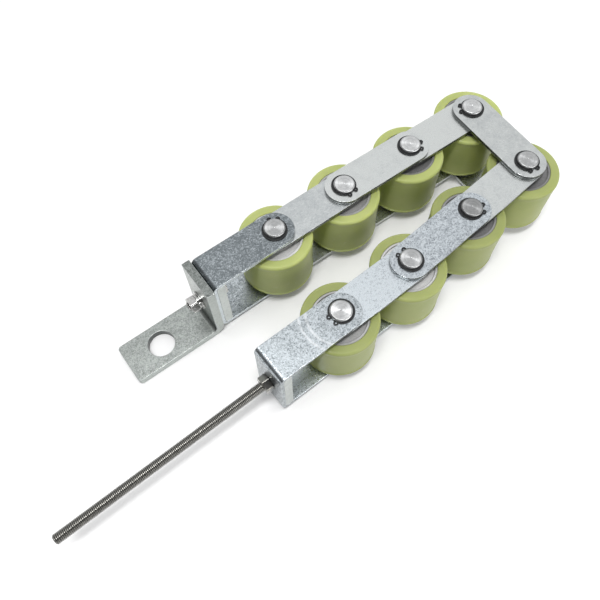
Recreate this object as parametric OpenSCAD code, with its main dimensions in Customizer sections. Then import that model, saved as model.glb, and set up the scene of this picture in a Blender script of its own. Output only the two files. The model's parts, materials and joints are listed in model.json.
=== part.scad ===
// Escalator chain: polyurethane rollers on steel pins, joined by pairs of inner and outer link plates in turn.
// A bent yoke ends each side: one is bolted to an anchor bracket, the other holds a threaded tension rod.
// The chain lies on its side and is folded in two rows, so each pin stands upright with its end on the floor.
// The origin is the middle of the anchor bracket's big hole, on the floor. +X runs from there to the first pin.

/* [Chain] */
// Distance between neighbouring pins
pitch = 68.5; // [64:0.5:90]

/* [Rollers] */
// Diameter of a tyre
tyre_d = 60; // [52:0.5:63]
// Width of a tyre
tyre_w = 46; // [40:0.5:60]
// Rounding of a tyre's outer edges
tyre_edge_r = 2.2; // [0.5:0.1:4]
// Outside diameter of the steel hub inside a tyre
hub_d = 44.5; // [43:0.5:49]
// How far the hub's ends lie below the tyre's faces
hub_recess = 0.5; // [0:0.1:2]
// Radial height of the shoulder in the hub that the bearings stop at
hub_shoulder = 2; // [1:0.1:2.5]

/* [Bearings] */
// Outside diameter of a ball bearing
bearing_d = 40; // [38:0.5:42]
// Width of a ball bearing
bearing_w = 12; // [10:0.5:15]
// How far a bearing lies below the hub's end
bearing_inset = 1; // [0.2:0.1:3]
// Diameter of a ball
ball_d = 6.7; // [5:0.1:7]
// Balls in a bearing
ball_count = 8; // [5:1:9]
// Radial gap between the shoulders of the inner and the outer ring
ring_gap = 4.1; // [3:0.1:5]
// Running clearance of a ball in its races and its cage
ball_clear = 0.1; // [0.05:0.01:0.2]
// Radial thickness of the ball cage
cage_t = 1.2; // [0.8:0.1:2]
// Rim of the ball cage beyond its pockets
cage_rim = 0.8; // [0.5:0.1:1.2]
// Thickness of a bearing shield
shield_t = 0.5; // [0.3:0.1:0.8]
// How far a shield lies below the bearing's face
shield_inset = 0.4; // [0.2:0.1:0.8]
// Gap between a shield and the inner ring
shield_gap = 0.4; // [0.2:0.1:0.8]

/* [Pins and sleeves] */
// Diameter of a pin
pin_d = 17; // [15:0.5:18]
// How far a pin stands out of the outer plate
pin_proud = 3.3; // [2.5:0.1:6]
// Chamfer on a pin's ends
pin_chamfer = 0.9; // [0.3:0.1:1.2]
// Radial clearance of a pin in plates, rings and sleeves
pin_clear = 0.05; // [0.02:0.01:0.1]
// Outside diameter of the sleeves between bearings and plates
sleeve_d = 23.5; // [21:0.5:24]
// Axial clearance between the pieces stacked on a pin
stack_clear = 0.05; // [0.02:0.01:0.1]

/* [Link plates] */
// Width of a link plate, and the diameter of its round ends
plate_w = 31.5; // [27:0.5:40]
// Thickness of a link plate
plate_t = 3; // [2:0.1:4]
// Gap between a tyre's face and the inner plate
side_gap = 3.25; // [2:0.05:6]
// Running clearance between an inner and an outer plate
plate_clear = 0.1; // [0.05:0.01:0.3]

/* [Circlips] */
// Thickness of a circlip
clip_t = 1; // [0.8:0.1:1.5]
// Radial depth of the groove that holds a circlip
clip_groove = 0.6; // [0.3:0.05:0.8]
// Radial width of a circlip opposite its gap
clip_w = 2.6; // [1.8:0.1:3.5]
// Radius of a circlip's lugs
clip_lug_r = 1.9; // [1.5:0.1:2.2]
// Diameter of the holes in the lugs
clip_hole_d = 1.6; // [1:0.1:2]
// Gap between the lugs
clip_gap = 3; // [2:0.1:4]

/* [Yokes] */
// Distance from a yoke's pin to the outer face of its end wall
yoke_reach = 67; // [60:0.5:90]
// Outside radius of a yoke's bends
yoke_bend_r = 4.8; // [4.2:0.1:8]
// Thickness of the block behind a yoke's end wall
block_t = 7; // [4:0.5:10]
// How much more the block's corners are rounded than the bend they lie in
block_relief = 0.5; // [0.2:0.1:1]

/* [Anchor bracket] */
// Thickness of the bracket
bracket_t = 7; // [4:0.5:10]
// Width of the bracket
bracket_w = 36; // [32:0.5:50]
// Height of the upright
bracket_h = 67; // [50:1:80]
// Length of the foot, from the back of the upright
foot_len = 81; // [70:1:120]
// Inside radius of the bend
bracket_bend_r = 4; // [2:0.5:8]
// Rounding of the foot's outer corners
foot_corner_r = 3; // [1:0.5:8]
// Diameter of the hole in the foot
foot_hole_d = 22; // [12:0.5:26]
// Distance from that hole's middle to the end of the foot
foot_hole_edge = 31; // [20:1:40]

/* [Fasteners] */
// Diameter of the anchor bolt and the tension rod
thread_d = 8; // [6:0.5:10]
// Depth from a thread's crest to the line where it meets the thread of its nut
thread_depth = 0.4; // [0.2:0.05:0.6]
// Radial clearance of threads in their nuts
thread_clear = 0.05; // [0.02:0.01:0.1]
// Radial clearance of bolt holes
hole_clear = 0.5; // [0.2:0.1:1]
// Width of a nut across its flats
nut_af = 13; // [12:0.5:17]
// Height of a nut
nut_h = 6.5; // [5:0.1:8]
// Height of the anchor bolt's head
head_h = 5.3; // [4:0.1:7]
// How far the anchor bolt stands out of its nut
bolt_proud = 1.5; // [0.5:0.1:4]
// Chamfer on the ends of the bolt and the rod
thread_chamfer = 0.8; // [0.4:0.1:1.2]
// Diameter of the flat washer
flat_washer_d = 16; // [14:0.5:20]
// Thickness of the flat washer
flat_washer_t = 1.6; // [1:0.1:2.5]
// Diameter of the spring washer
spring_washer_d = 13; // [12:0.5:15]
// Thickness of the spring washer
spring_washer_t = 2; // [1.5:0.1:3]
// Width of the split in the spring washer
spring_washer_gap = 1.2; // [0.8:0.1:2]

/* [Tension rod] */
// Length of the rod
rod_len = 200; // [120:1:260]
// How far the rod stands out of the nut inside the yoke
rod_inside = 5; // [1:0.5:10]

/* [Rest pose] */
// Turn of the first link at pin 1
bend_1 = 0; // [-10:0.5:60]
// Turn at pin 2
bend_2 = -1; // [-8:0.5:60]
// Turn at pin 3
bend_3 = 0; // [-5:0.5:60]
// Turn at pin 4, the first corner of the fold
bend_4 = -91.5; // [-94:0.5:0]
// Turn at pin 5, the second corner of the fold
bend_5 = -82; // [-85:0.5:0]
// Turn at pin 6
bend_6 = -0.5; // [-4:0.5:60]
// Turn at pin 7
bend_7 = -3; // [-10:0.5:60]
// Turn of the tension yoke at pin 8
bend_8 = -0.5; // [-10:0.5:60]
// Where each circlip's gap points, from pin 1 to pin 8
clip_turns = [60, -80, -35, 145, -100, -35, 100, 190];

/* [Hidden] */
$fn = 96;
overcut = 1;
steel = [0.72, 0.73, 0.74];
bright_steel = [0.82, 0.82, 0.80];
dark_steel = [0.42, 0.42, 0.42];
black_steel = [0.10, 0.10, 0.11];
polyurethane = [0.63, 0.67, 0.36];

bends = [bend_1, bend_2, bend_3, bend_4, bend_5, bend_6, bend_7, bend_8];
pin_count = len(bends);

// Heights from the middle of the chain's width
inner_z = tyre_w / 2 + side_gap;
outer_z = inner_z + plate_t + plate_clear;
face_z = outer_z + plate_t;
pin_half = face_z + pin_proud;
mid_z = pin_half;

// Rollers and bearings
hub_w = tyre_w - 2 * hub_recess;
bearing_face_z = hub_w / 2 - bearing_inset;
bearing_z = bearing_face_z - bearing_w / 2;
bearing_back_z = bearing_face_z - bearing_w;
ball_circle_r = (pin_d + bearing_d) / 4;
ball_seat_r = ball_d / 2 + ball_clear;
inner_ring_r = ball_circle_r - ring_gap / 2;
outer_ring_r = ball_circle_r + ring_gap / 2;
pin_hole_r = pin_d / 2 + pin_clear;

// Circlips
groove_r = pin_d / 2 - clip_groove;
clip_in_r = groove_r + pin_clear;
clip_lug_at = clip_in_r + clip_lug_r;

// Yokes, bracket and fasteners, along the line out of each yoke
wall_in = yoke_reach - plate_t;
block_in = wall_in - block_t;
bracket_front = yoke_reach + bracket_t;
spring_washer_at = bracket_front + flat_washer_t;
nut_at = spring_washer_at + spring_washer_t;
bolt_hole_r = thread_d / 2 + hole_clear;
thread_held_r = thread_d / 2 - thread_depth;
nut_r = nut_af / sqrt(3);
rod_in = block_in - nut_h - rod_inside;
rod_free = yoke_reach + nut_h;

// Headings of the links and places of the pins in plan
pin_1_x = yoke_reach + foot_len - foot_hole_edge;
function heading(k) = k < 0 ? 0 : heading(k - 1) + bends[k];
function pin_at(k) = k == 0 ? [pin_1_x, 0] : pin_at(k - 1) + pitch * [cos(heading(k - 1)), sin(heading(k - 1))];

// Places

// Puts a piece on a pin, with the middle of the chain's width at z = 0
module on_pin(k, turn = 0) {
    translate([pin_at(k).x, pin_at(k).y, mid_z]) rotate(turn) children();
}

// The anchor yoke's frame: its pin at the origin, and +X out of the yoke
module at_anchor() {
    on_pin(0, 180) children();
}

// The tension yoke's frame, laid out like the anchor yoke's
module at_tension() {
    on_pin(pin_count - 1, heading(pin_count - 1)) children();
}

// Turns a piece made along +Z so that it runs along +X from a given place
module along_x(x) {
    translate([x, 0, 0]) rotate([0, 90, 0]) children();
}

// Makes a piece and its mirror image across the middle of the chain's width
module both_sides() {
    children();
    mirror([0, 0, 1]) children();
}

// Shared shapes

// A ring by its two radii and the heights of its faces
module ring(inside_r, outside_r, low, high) {
    rotate_extrude() translate([inside_r, low]) square([outside_r - inside_r, high - low]);
}

// A hexagonal prism with turned corners, along +Z
module hexagon(height) {
    corner = nut_r - nut_af / 2;
    rise = corner * tan(30);
    intersection() {
        cylinder(r = nut_r, h = height, $fn = 6);
        rotate_extrude() polygon([
            [0, 0],
            [nut_af / 2, 0],
            [nut_r, rise],
            [nut_r, height - rise],
            [nut_af / 2, height],
            [0, height]
        ]);
    }
}

// A hexagon nut, along +Z
module nut() {
    difference() {
        hexagon(nut_h);
        translate([0, 0, -overcut]) cylinder(r = thread_held_r + thread_clear, h = nut_h + 2 * overcut);
    }
}

// A plate's outline between two pins, with round ends
module link_outline(length) {
    difference() {
        union() {
            circle(d = plate_w);
            translate([length, 0]) circle(d = plate_w);
            translate([0, -plate_w / 2]) square([length, plate_w]);
        }
        circle(r = pin_hole_r);
        translate([length, 0]) circle(r = pin_hole_r);
    }
}

// The two plates of a link that starts at pin k, at a height from the middle
module link_plates(k, low) {
    on_pin(k, heading(k)) both_sides() translate([0, 0, low]) linear_extrude(plate_t) link_outline(pitch);
}

// The side view of a solid end that is rounded at its two far corners
module rounded_end(reach, half_height, corner_r) {
    back = -plate_w / 2;
    translate([back, -half_height]) square([reach - corner_r - back, 2 * half_height]);
    translate([back, corner_r - half_height]) square([reach - back, 2 * (half_height - corner_r)]);
    for (side = [-1, 1]) translate([reach - corner_r, side * (half_height - corner_r)]) circle(corner_r);
}

// Gives a side view its width across the chain
module across(width) {
    rotate([90, 0, 0]) linear_extrude(width, center = true) children();
}

// End pieces

// A strap bent into a U, with a round end at the pin and a hole in its end wall
module yoke() {
    difference() {
        intersection() {
            across(plate_w) difference() {
                rounded_end(yoke_reach, face_z, yoke_bend_r);
                rounded_end(wall_in, outer_z, yoke_bend_r - plate_t);
            }
            translate([0, 0, -face_z]) linear_extrude(2 * face_z) union() {
                circle(d = plate_w);
                translate([0, -plate_w / 2]) square([yoke_reach + overcut, plate_w]);
            }
        }
        cylinder(r = pin_hole_r, h = 2 * face_z + 2 * overcut, center = true);
        along_x(0) cylinder(r = bolt_hole_r, h = yoke_reach + overcut);
    }
}

// The block that backs a yoke's end wall
module block() {
    difference() {
        across(plate_w) difference() {
            rounded_end(wall_in, outer_z, yoke_bend_r - plate_t + block_relief);
            translate([-plate_w, -outer_z - overcut]) square([block_in + plate_w, 2 * (outer_z + overcut)]);
        }
        along_x(0) cylinder(r = bolt_hole_r, h = yoke_reach);
    }
}

module anchor_yoke() {
    color(steel) at_anchor() yoke();
}

module tension_yoke() {
    color(steel) at_tension() yoke();
}

module anchor_block() {
    color(steel) at_anchor() block();
}

module tension_block() {
    color(steel) at_tension() block();
}

// The L-shaped bracket's side view, from the floor up, with its bend
module bracket_profile() {
    bend_out = bracket_bend_r + bracket_t;
    translate([bend_out, 0]) square([foot_len - bend_out, bracket_t]);
    translate([0, bend_out]) square([bracket_t, bracket_h - bend_out]);
    intersection() {
        translate([bend_out, bend_out]) difference() {
            circle(bend_out);
            circle(bracket_bend_r);
        }
        square(bend_out);
    }
}

// The foot's outline, with its outer corners rounded
module foot_outline() {
    translate([0, -bracket_w / 2]) square([foot_len - foot_corner_r, bracket_w]);
    translate([0, foot_corner_r - bracket_w / 2]) square([foot_len, bracket_w - 2 * foot_corner_r]);
    for (side = [-1, 1])
        translate([foot_len - foot_corner_r, side * (bracket_w / 2 - foot_corner_r)]) circle(foot_corner_r);
}

module anchor_bracket() {
    color(steel) at_anchor() difference() {
        translate([yoke_reach, 0, -mid_z]) difference() {
            intersection() {
                across(bracket_w) bracket_profile();
                linear_extrude(bracket_h) foot_outline();
            }
            translate([foot_len - foot_hole_edge, 0, -overcut])
                cylinder(d = foot_hole_d, h = bracket_t + 2 * overcut);
        }
        along_x(yoke_reach - overcut) cylinder(r = bolt_hole_r, h = bracket_t + 2 * overcut);
    }
}

// A hexagon bolt, its head inside the yoke, thinner by the thread's depth where its nut holds it
module anchor_bolt() {
    nut_low = nut_at - block_in;
    nut_high = nut_low + nut_h;
    tip = nut_high + bolt_proud;
    r = thread_d / 2;
    color(bright_steel) at_anchor() {
        along_x(block_in - head_h) hexagon(head_h);
        along_x(block_in) rotate_extrude() polygon([
            [0, -head_h / 2],
            [r, -head_h / 2],
            [r, nut_low],
            [thread_held_r, nut_low],
            [thread_held_r, nut_high],
            [r, nut_high],
            [r, tip - thread_chamfer],
            [r - thread_chamfer, tip],
            [0, tip]
        ]);
    }
}

module anchor_flat_washer() {
    color(bright_steel) at_anchor() along_x(bracket_front) ring(bolt_hole_r, flat_washer_d / 2, 0, flat_washer_t);
}

module anchor_spring_washer() {
    color(bright_steel) at_anchor() along_x(spring_washer_at) difference() {
        ring(thread_d / 2 + hole_clear / 2, spring_washer_d / 2, 0, spring_washer_t);
        translate([0, -spring_washer_gap / 2, -overcut])
            cube([spring_washer_d, spring_washer_gap, spring_washer_t + 2 * overcut]);
    }
}

module anchor_nut() {
    color(bright_steel) at_anchor() along_x(nut_at) nut();
}

// The rod, thinner by the thread's depth where the nuts and the yoke hold it
module tension_rod() {
    r = thread_d / 2;
    color(dark_steel) at_tension() along_x(rod_in) rotate_extrude() polygon([
        [0, 0],
        [thread_held_r - thread_chamfer, 0],
        [thread_held_r, thread_chamfer],
        [thread_held_r, rod_free - rod_in],
        [r, rod_free - rod_in],
        [r, rod_len - thread_chamfer],
        [r - thread_chamfer, rod_len],
        [0, rod_len]
    ]);
}

// One nut inside the yoke and one outside clamp the rod
module rod_nuts() {
    color(dark_steel) at_tension() {
        along_x(block_in - nut_h) nut();
        along_x(yoke_reach) nut();
    }
}

// Links and pins

module inner_link(n) {
    color(steel) link_plates(2 * n - 2, inner_z);
}

module outer_link(n) {
    color(steel) link_plates(2 * n - 1, outer_z);
}

// A pin with chamfered ends and a circlip groove at each outer plate
module pin(k) {
    r = pin_d / 2;
    groove_top = face_z + clip_t + stack_clear;
    color(bright_steel) on_pin(k) difference() {
        rotate_extrude() polygon([
            [0, -pin_half],
            [r - pin_chamfer, -pin_half],
            [r, pin_chamfer - pin_half],
            [r, pin_half - pin_chamfer],
            [r - pin_chamfer, pin_half],
            [0, pin_half]
        ]);
        both_sides() ring(groove_r, r + overcut, face_z - stack_clear, groove_top);
    }
}

// A circlip's outline, its gap towards +X and its band widest opposite
module clip_outline() {
    drift = clip_w / 6;
    lug_turn = asin((clip_gap / 2 + clip_lug_r) / clip_lug_at);
    difference() {
        union() {
            translate([-drift, 0]) circle(clip_in_r + clip_w - drift);
            for (side = [-1, 1]) rotate(side * lug_turn) translate([clip_lug_at, 0]) circle(clip_lug_r);
        }
        circle(clip_in_r);
        translate([0, -clip_gap / 2]) square([clip_lug_at + 2 * clip_lug_r, clip_gap]);
        for (side = [-1, 1]) rotate(side * lug_turn) translate([clip_lug_at, 0]) circle(d = clip_hole_d);
    }
}

// The two circlips of a pin
module circlips(k) {
    color(black_steel) on_pin(k, clip_turns[k])
        both_sides() translate([0, 0, face_z]) linear_extrude(clip_t) clip_outline();
}

// The bearings' inner rings on a pin, the sleeve between them and the sleeves out to the inner plates
module sleeves(k) {
    color(bright_steel) on_pin(k) {
        both_sides() translate([0, 0, bearing_z]) difference() {
            ring(pin_hole_r, inner_ring_r, -bearing_w / 2, bearing_w / 2);
            rotate_extrude() translate([ball_circle_r, 0]) circle(ball_seat_r);
        }
        both_sides()
            ring(pin_hole_r, sleeve_d / 2, bearing_face_z + stack_clear, inner_z - stack_clear);
        ring(pin_hole_r, sleeve_d / 2, stack_clear - bearing_back_z, bearing_back_z - stack_clear);
    }
}

// Rollers

module tyre(k) {
    r = tyre_d / 2;
    color(polyurethane) on_pin(k) rotate_extrude() {
        translate([hub_d / 2, -tyre_w / 2]) square([r - tyre_edge_r - hub_d / 2, tyre_w]);
        translate([hub_d / 2, tyre_edge_r - tyre_w / 2]) square([r - hub_d / 2, tyre_w - 2 * tyre_edge_r]);
        for (side = [-1, 1]) translate([r - tyre_edge_r, side * (tyre_w / 2 - tyre_edge_r)]) circle(tyre_edge_r);
    }
}

// The steel hub, bored from each end for a bearing
module hub(k) {
    color(dark_steel) on_pin(k) difference() {
        ring(bearing_d / 2 - hub_shoulder, hub_d / 2, -hub_w / 2, hub_w / 2);
        both_sides() translate([0, 0, bearing_back_z]) cylinder(r = bearing_d / 2 + pin_clear, h = hub_w);
    }
}

// One bearing's pieces that turn with the hub: outer ring, shields, cage and balls
module bearing() {
    cage_half = ball_d / 2 + ball_clear + cage_rim;
    difference() {
        ring(outer_ring_r, bearing_d / 2, -bearing_w / 2, bearing_w / 2);
        rotate_extrude() translate([ball_circle_r, 0]) circle(ball_seat_r);
    }
    both_sides() translate([0, 0, bearing_w / 2 - shield_inset - shield_t])
        ring(inner_ring_r + shield_gap, outer_ring_r - pin_clear, 0, shield_t);
    difference() {
        ring(ball_circle_r - cage_t / 2, ball_circle_r + cage_t / 2, -cage_half, cage_half);
        for (n = [1:ball_count])
            rotate(n * 360 / ball_count) along_x(0) cylinder(r = ball_seat_r, h = ball_circle_r + cage_t);
    }
    for (n = [1:ball_count]) rotate(n * 360 / ball_count) translate([ball_circle_r, 0, 0]) sphere(d = ball_d);
}

module bearings(k) {
    color(bright_steel) on_pin(k) both_sides() translate([0, 0, bearing_z]) bearing();
}

// The assembly

anchor_yoke();
anchor_block();
anchor_bracket();
anchor_bolt();
anchor_nut();
anchor_flat_washer();
anchor_spring_washer();
tension_yoke();
tension_block();
tension_rod();
rod_nuts();

for (n = [1:4]) inner_link(n);
for (n = [1:3]) outer_link(n);

circlips(0);  // circlips_anchor
circlips(pin_count - 1);  // circlips_tension
sleeves(0);  // sleeves_anchor
sleeves(pin_count - 1);  // sleeves_tension
for (n = [1:3], end = [0, 1]) circlips(2 * n - 1 + end);
for (n = [1:3], end = [0, 1]) sleeves(2 * n - 1 + end);

for (n = [1:pin_count]) pin(n - 1);
for (n = [1:pin_count]) tyre(n - 1);
for (n = [1:pin_count]) hub(n - 1);
for (n = [1:pin_count]) bearings(n - 1);
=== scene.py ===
# %% [markdown]
# # Dressing an escalator chain
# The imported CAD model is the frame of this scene: it fixes where every piece sits and how it moves. This lesson
# keeps that frame and adds what a solid model lacks: the rolled edges of stamped plates, a real thread, the soft
# lip of a moulded tyre, and the finish of each metal. Everything is in metres, and every finished piece sits at
# the origin with its place in its mesh, so a pattern in its material stays on it when the chain moves.

# %% Load the frame
import json
import math

import bmesh
import bpy
import numpy as np
from mathutils import Matrix, Vector
from mathutils.geometry import tessellate_polygon


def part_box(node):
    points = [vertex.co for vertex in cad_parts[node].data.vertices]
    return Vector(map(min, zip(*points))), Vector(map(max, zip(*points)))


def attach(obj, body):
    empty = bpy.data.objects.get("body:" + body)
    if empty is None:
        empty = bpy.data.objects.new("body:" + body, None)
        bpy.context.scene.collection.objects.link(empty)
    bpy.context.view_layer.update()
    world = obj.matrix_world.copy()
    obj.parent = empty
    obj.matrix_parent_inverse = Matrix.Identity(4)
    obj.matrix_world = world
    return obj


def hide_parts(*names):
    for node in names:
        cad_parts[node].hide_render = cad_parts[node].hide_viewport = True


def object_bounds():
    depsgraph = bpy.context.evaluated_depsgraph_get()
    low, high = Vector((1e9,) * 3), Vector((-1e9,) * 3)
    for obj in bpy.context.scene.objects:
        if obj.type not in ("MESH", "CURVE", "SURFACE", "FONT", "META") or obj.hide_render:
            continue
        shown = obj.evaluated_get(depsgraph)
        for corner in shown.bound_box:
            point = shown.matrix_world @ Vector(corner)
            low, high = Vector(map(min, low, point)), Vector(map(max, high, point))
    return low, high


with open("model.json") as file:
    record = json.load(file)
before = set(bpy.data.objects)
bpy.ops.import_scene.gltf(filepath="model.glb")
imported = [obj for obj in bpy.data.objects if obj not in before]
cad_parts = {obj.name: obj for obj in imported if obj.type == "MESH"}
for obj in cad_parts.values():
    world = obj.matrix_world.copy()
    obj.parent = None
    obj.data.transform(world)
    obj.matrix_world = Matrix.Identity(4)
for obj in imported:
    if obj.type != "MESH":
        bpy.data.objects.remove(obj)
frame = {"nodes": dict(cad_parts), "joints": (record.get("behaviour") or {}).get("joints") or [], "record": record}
cad_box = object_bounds()
MM = 0.001

# %% [markdown]
# ## Where the pins stand
# A chain is laid out by its pins, so every place in this file comes from them. The hinge joints of the record
# give the pins, and two neighbouring pins give the heading of the link between them. The yokes hang on the first
# and the last pin: the anchor yoke points back along -X, and the tension yoke follows its rod.

# %% Pins and headings
hinges = {joint["name"]: joint for joint in frame["joints"]}
pins = [Vector(hinges[f"link_hinge_{k}"]["pos_m"]) for k in range(1, 9)]
steps = [far - near for near, far in zip(pins, pins[1:])]
link_headings = [math.atan2(step.y, step.x) for step in steps]
pitch = steps[0].length
mounts = {mount["name"]: mount for mount in frame["record"]["mounts"]}
rod_axis = mounts["tension_rod_end"]["axis"]
anchor_heading = math.pi
tension_heading = math.atan2(rod_axis[1], rod_axis[0])
body_of = {n: body for body, members in frame["record"]["behaviour"]["bodies"].items() for n in members}
print("pitch", round(pitch / MM, 2), "mm, headings", [round(math.degrees(h), 1) for h in link_headings])

# %% [markdown]
# ## Attributes on every new mesh
# A scratch or a turning mark follows the piece, not the room. So each mesh keeps the place of its points in the
# piece's own frame as an attribute called own. A second one, rim, is 1 on a rounded edge, where plating is rubbed
# bright, and -1 on the wall of a punched piece, which is painted dark on an upper plate as the shade along its
# edge.
# The layout further down adds a seed, a tone and a spangle for each copy. The materials read them all. Shading is
# smooth, with a hard line only at real corners. The last helper hangs a finished piece on the body that carries it
# and hides the CAD nodes that it stands for.


# %% Mesh helper
def finish_mesh(name, points, faces, rims=None, corner=35):
    mesh = bpy.data.meshes.new(name)
    mesh.from_pydata([tuple(p) for p in points], [], faces)
    mesh.update()
    mesh.polygons.foreach_set("use_smooth", [True] * len(mesh.polygons))
    mesh.set_sharp_from_angle(angle=math.radians(corner))
    own = mesh.attributes.new("own", "FLOAT_VECTOR", "POINT")
    own.data.foreach_set("vector", np.array(points, np.float32).ravel())
    rim = mesh.attributes.new("rim", "FLOAT", "POINT")
    rim.data.foreach_set("value", np.array(rims if rims is not None else np.zeros(len(points)), np.float32))
    return mesh


def add_object(name, mesh):
    made = bpy.data.objects.new(name, mesh)
    bpy.context.scene.collection.objects.link(made)
    return made


def put_on(made, body, finish, *nodes):
    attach(made, body)
    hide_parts(*nodes)


# %% [markdown]
# ## Stamped plates
# Link plates and circlips are punched out of sheet. A press rolls the edge over a little, and that thin rounded
# line is what catches the light. The outline could be extruded and given a Bevel modifier, but the outline here
# is known exactly, so the rounded edge is built directly: loops of the outline, each a little further in, climb
# round the edge, and flat faces close the top and the bottom.


# %% Stamped sheet
SHARPEST_MITRE, NO_AREA = 0.4, 1e-14


def unit(rows):
    return rows / np.linalg.norm(rows, axis=1)[:, None]


def moved_in(loop, by):
    ways = unit(loop - np.roll(loop, 1, axis=0)), unit(np.roll(loop, -1, axis=0) - loop)
    before, after = (np.stack([-way[:, 1], way[:, 0]], 1) for way in ways)
    mitre = unit(before + after)
    share = np.maximum(SHARPEST_MITRE, (mitre * before).sum(1))
    return loop + mitre * (by / share)[:, None]


def stamped(name, loops, low, high, edge):
    turns = [(math.radians(a), rim) for a, rim in ((0, 0.5), (30, 1), (60, 0), (90, -1))]
    flat_in = 2.5 * edge
    rows = [(flat_in, low, 0)]
    rows += [(edge * (1 - math.sin(a)), low + edge * (1 - math.cos(a)), rim) for a, rim in turns]
    rows += [(edge * (1 - math.sin(a)), high - edge * (1 - math.cos(a)), rim) for a, rim in reversed(turns)]
    rows += [(flat_in, high, 0)]
    points, faces, rims, low_caps, high_caps = [], [], [], [], []
    for loop in loops:
        count, start = len(loop), len(points)
        for inset, height, rim in rows:
            points += [(x, y, height) for x, y in moved_in(loop, inset)]
            rims += [rim] * count
        for row in range(len(rows) - 1):
            for k in range(count):
                a, b = start + row * count + k, start + row * count + (k + 1) % count
                faces.append((a, b, b + count, a + count))
        low_caps.append(list(range(start, start + count)))
        high_caps.append(list(range(start + (len(rows) - 1) * count, start + len(rows) * count)))
    for caps, up in ((low_caps, -1), (high_caps, 1)):
        flat = [index for cap in caps for index in cap]
        for a, b, c in tessellate_polygon([[Vector(points[index]) for index in cap] for cap in caps]):
            a, b, c = flat[a], flat[b], flat[c]
            (ax, ay, _), (bx, by, _), (cx, cy, _) = points[a], points[b], points[c]
            area = (bx - ax) * (cy - ay) - (by - ay) * (cx - ax)
            if abs(area) > NO_AREA:
                faces.append((a, b, c) if area * up > 0 else (a, c, b))
    return finish_mesh(name, points, faces, rims)


def circle(radius, count, middle=(0, 0), clockwise=False):
    angles = np.arange(count) * 2 * math.pi / count * (-1 if clockwise else 1)
    return np.stack([middle[0] + radius * np.cos(angles), middle[1] + radius * np.sin(angles)], 1)


# %% [markdown]
# ## Turned pieces
# Pins, hubs, washers and tyres are round, so one profile that is swept about the pin's axis makes each of them.
# Blender's Screw modifier does this too. A few lines of code give the same mesh and keep the profile readable
# as pairs of radius and height.


# %% Turned piece
def turned(name, profile, steps=96, ring=True, corner=28):
    angles = np.arange(steps) * 2 * math.pi / steps
    points, rows = [], []
    for radius, height in profile:
        if radius < 1e-9:
            rows.append([len(points)] * steps)
            points.append((0, 0, height))
        else:
            rows.append(list(range(len(points), len(points) + steps)))
            points += [(radius * math.cos(a), radius * math.sin(a), height) for a in angles]
    faces = []
    pairs = list(zip(rows, rows[1:])) + ([(rows[-1], rows[0])] if ring else [])
    for lower, upper in pairs:
        for k in range(steps):
            n = (k + 1) % steps
            faces.append(tuple(dict.fromkeys((lower[k], lower[n], upper[n], upper[k]))))
    return finish_mesh(name, points, faces, corner=corner)


# %% [markdown]
# ## Hexagons
# A nut is a hexagonal bar whose corners are turned off by a cone, which leaves the curved line on each flat. At
# every height the outline is the smaller of the hexagon and that cone, so a grid of angles and heights gives
# the shape without any cutting. The bore has a small countersink at both ends, and roll turns the corners.


# %% Hexagon nut or head
def hexagon(name, flats, height, bore, roll=0.0):
    steps, slope = 144, math.tan(math.radians(30))
    worn, face_in, sink = 0.12 * MM, 0.25 * MM, 0.7 * MM
    corner = flats / math.sqrt(3)
    rise = (corner - flats / 2) * slope
    angles = np.arange(steps) * 2 * math.pi / steps
    hex_r = flats / 2 / np.cos((angles + roll + math.pi / 6) % (math.pi / 3) - math.pi / 6)
    hex_r = np.minimum(hex_r, corner - worn)
    heights = [0, 0.08 * MM] + list(np.linspace(0.2 * rise, rise, 5))
    heights += [height - h for h in reversed(heights)]
    rings = [(np.minimum(hex_r, flats / 2 - face_in + min(h, height - h) / slope), h) for h in heights]
    inside = [(bore + sink, height), (bore, height - sink), (bore, sink), (bore + sink, 0)] if bore else []
    rings += [(np.full(steps, radius), h) for radius, h in inside]
    points = [(r * math.cos(a), r * math.sin(a), h) for radii, h in rings for r, a in zip(radii, angles)]
    rows, faces = len(rings), []
    for row in range(rows if bore else rows - 1):
        for k in range(steps):
            a, b = row * steps + k, row * steps + (k + 1) % steps
            c, d = ((row + 1) % rows) * steps + (k + 1) % steps, ((row + 1) % rows) * steps + k
            faces.append((a, b, c, d))
    if not bore:
        faces.append(tuple(reversed(range(steps))))
        faces.append(tuple(range((rows - 1) * steps, rows * steps)))
    return finish_mesh(name, points, faces, corner=20)


# %% [markdown]
# ## Bent pieces
# The yokes, their blocks and the bracket are bent or sawn from thick stock. Their CAD shape is right, so a merged
# copy of each keeps it, and a Bevel modifier breaks the sharp edges. The bevel paints its own faces with a second
# material index, and that becomes the rim attribute before the index is dropped. A short rule for each piece gives
# every face a tone by which way it looks and where it lies; on the yokes and the bracket these tones are painted
# light and shade. The modifier's result then becomes the piece's own mesh.


# %% Softened copy of a CAD node
WELD, NEARLY_FLAT, REAL_CORNER = 1e-6, math.radians(0.4), math.radians(35)


def evaluated_piece(made, modifier):
    mesh = bpy.data.meshes.new_from_object(made.evaluated_get(bpy.context.evaluated_depsgraph_get()))
    made.modifiers.remove(modifier)
    old = made.data
    made.data = mesh
    bpy.data.meshes.remove(old)
    mesh.name = made.name
    return made


def yoke_frame(node):
    return (pins[7], tension_heading) if body_of[node] == "tension_end" else (pins[0], anchor_heading)


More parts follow.
